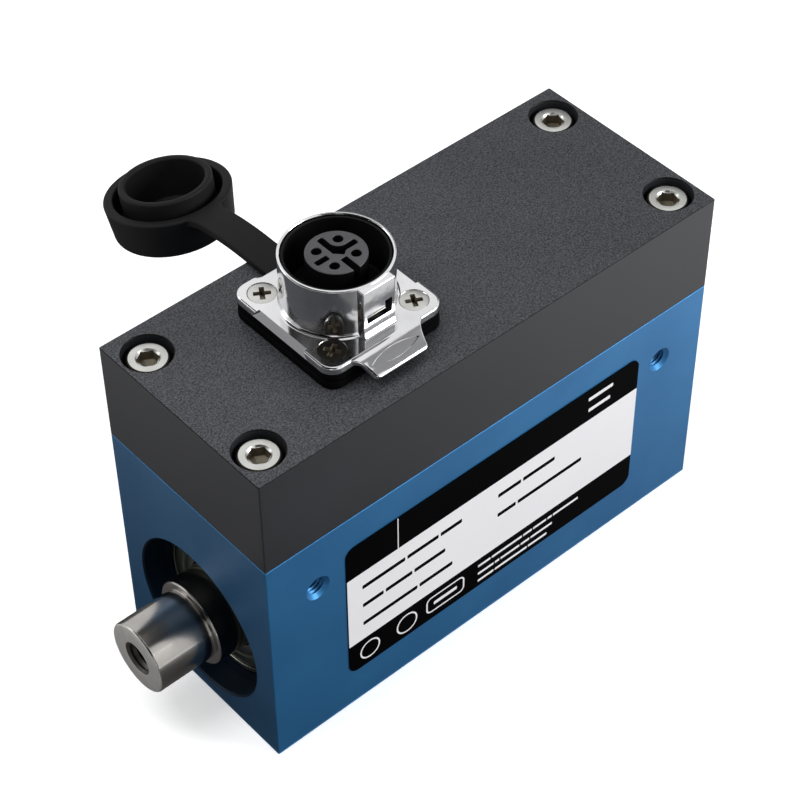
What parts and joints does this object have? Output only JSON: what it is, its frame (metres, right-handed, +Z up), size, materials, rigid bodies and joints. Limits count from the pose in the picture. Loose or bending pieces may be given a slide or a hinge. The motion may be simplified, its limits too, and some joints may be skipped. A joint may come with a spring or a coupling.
{
  "type": "rotary torque sensor",
  "caption": "Rotary torque sensor: a through shaft on two ball bearings in a block housing, with a panel socket and its strapped dust cap on the cover.",
  "frame": {"origin": "middle of the housing's base", "axes": "+X along the shaft, +Z up towards the socket, -Y out of the face with the nameplate"},
  "size_m": [0.0926, 0.0572, 0.0609],
  "materials": {
    "blue_anodised": "blue anodised",
    "black_anodised": "bead blasted and black anodised",
    "screw_steel": "nickel plated",
    "ground_steel": "ground",
    "ferrite": "sintered",
    "copper_wire": "enamelled copper",
    "circuit_board": "glass epoxy with solder mask",
    "gauge_foil": "polyimide foil",
    "black_plastic": "moulded",
    "plated_zinc": "die cast and bright nickel plated",
    "grey_plastic": "moulded",
    "gold_contact": "gold plated",
    "black_rubber": "moulded",
    "printed_foil": "printed polyester foil",
    "cable_grey": "insulated copper"
  },
  "bodies": {
    "stator": {"housing_body": "blue_anodised", "top_cover": "black_anodised", "cover_screw_1": "screw_steel", "cover_screw_2": "screw_steel", "cover_screw_3": "screw_steel", "cover_screw_4": "screw_steel", "board_screw_1": "screw_steel", "board_screw_2": "screw_steel", "board_screw_3": "screw_steel", "board_screw_4": "screw_steel", "flange_screw_1": "screw_steel", "flange_screw_2": "screw_steel", "flange_screw_3": "screw_steel", "flange_screw_4": "screw_steel", "bearing_shield_left_outer": "screw_steel", "bearing_shield_left_inner": "screw_steel", "bearing_shield_right_outer": "screw_steel", "bearing_shield_right_inner": "screw_steel", "bearing_outer_ring_left": "ground_steel", "bearing_outer_ring_right": "ground_steel", "stator_core_left": "ferrite", "stator_core_right": "ferrite", "stator_winding_left": "copper_wire", "stator_winding_right": "copper_wire", "main_circuit_board": "circuit_board", "board_header": "black_plastic", "processor_chip": "black_plastic", "amplifier_chip": "black_plastic", "connector_liner": "black_plastic", "connector_shell": "plated_zinc", "contact_block": "grey_plastic", "contact_1": "gold_contact", "contact_2": "gold_contact", "contact_3": "gold_contact", "contact_4": "gold_contact", "flange_gasket": "black_rubber", "strap_plate": "black_rubber", "nameplate": "printed_foil", "socket_ribbon_cable": "cable_grey", "stator_lead_left": "cable_grey", "stator_lead_right": "cable_grey"},
    "rotor": {"torsion_shaft": "ground_steel", "bearing_inner_ring_left": "ground_steel", "bearing_inner_ring_right": "ground_steel", "rotor_core_left": "ferrite", "rotor_core_right": "ferrite", "rotor_winding_left": "copper_wire", "rotor_winding_right": "copper_wire", "rotor_circuit_board": "circuit_board", "strain_gauge_1": "gauge_foil", "strain_gauge_2": "gauge_foil", "strain_gauge_3": "gauge_foil", "strain_gauge_4": "gauge_foil"},
    "cage_left": {"ball_cage_left": "ground_steel"},
    "cage_right": {"ball_cage_right": "ground_steel"},
    "strap": {"cap_strap": "black_rubber"},
    "cap": {"dust_cap": "black_rubber"}
  },
  "joints": [
    {"name": "shaft_spin", "type": "hinge", "parent": "stator", "child": "rotor", "pos_m": [0, 0, 0.0135], "axis": [1, 0, 0], "continuous": true},
    {"name": "cage_left_spin", "type": "hinge", "parent": "stator", "child": "cage_left", "pos_m": [-0.0306, 0, 0.0135], "axis": [1, 0, 0], "continuous": true},
    {"name": "cage_right_spin", "type": "hinge", "parent": "stator", "child": "cage_right", "pos_m": [0.0306, 0, 0.0135], "axis": [1, 0, 0], "continuous": true},
    {"name": "cap_strap_lift", "type": "hinge", "parent": "stator", "child": "strap", "pos_m": [-0.0124, 0.0103, 0.05083], "axis": [1, 0, 0], "range_deg": [0, 94.2], "stiffness_Nm_per_rad": 0.0005},
    {"name": "cap_fold", "type": "hinge", "parent": "strap", "child": "cap", "pos_m": [-0.0124, 0.02379, 0.04997], "axis": [1, 0, 0], "range_deg": [-20, 97.8], "stiffness_Nm_per_rad": 0.0005, "springref_deg": 8.19}
  ],
  "couplings": [
    {"joint": "cage_left_spin", "follows": "shaft_spin", "ratio": 0.4294},
    {"joint": "cage_right_spin", "follows": "shaft_spin", "ratio": 0.4294}
  ]
}
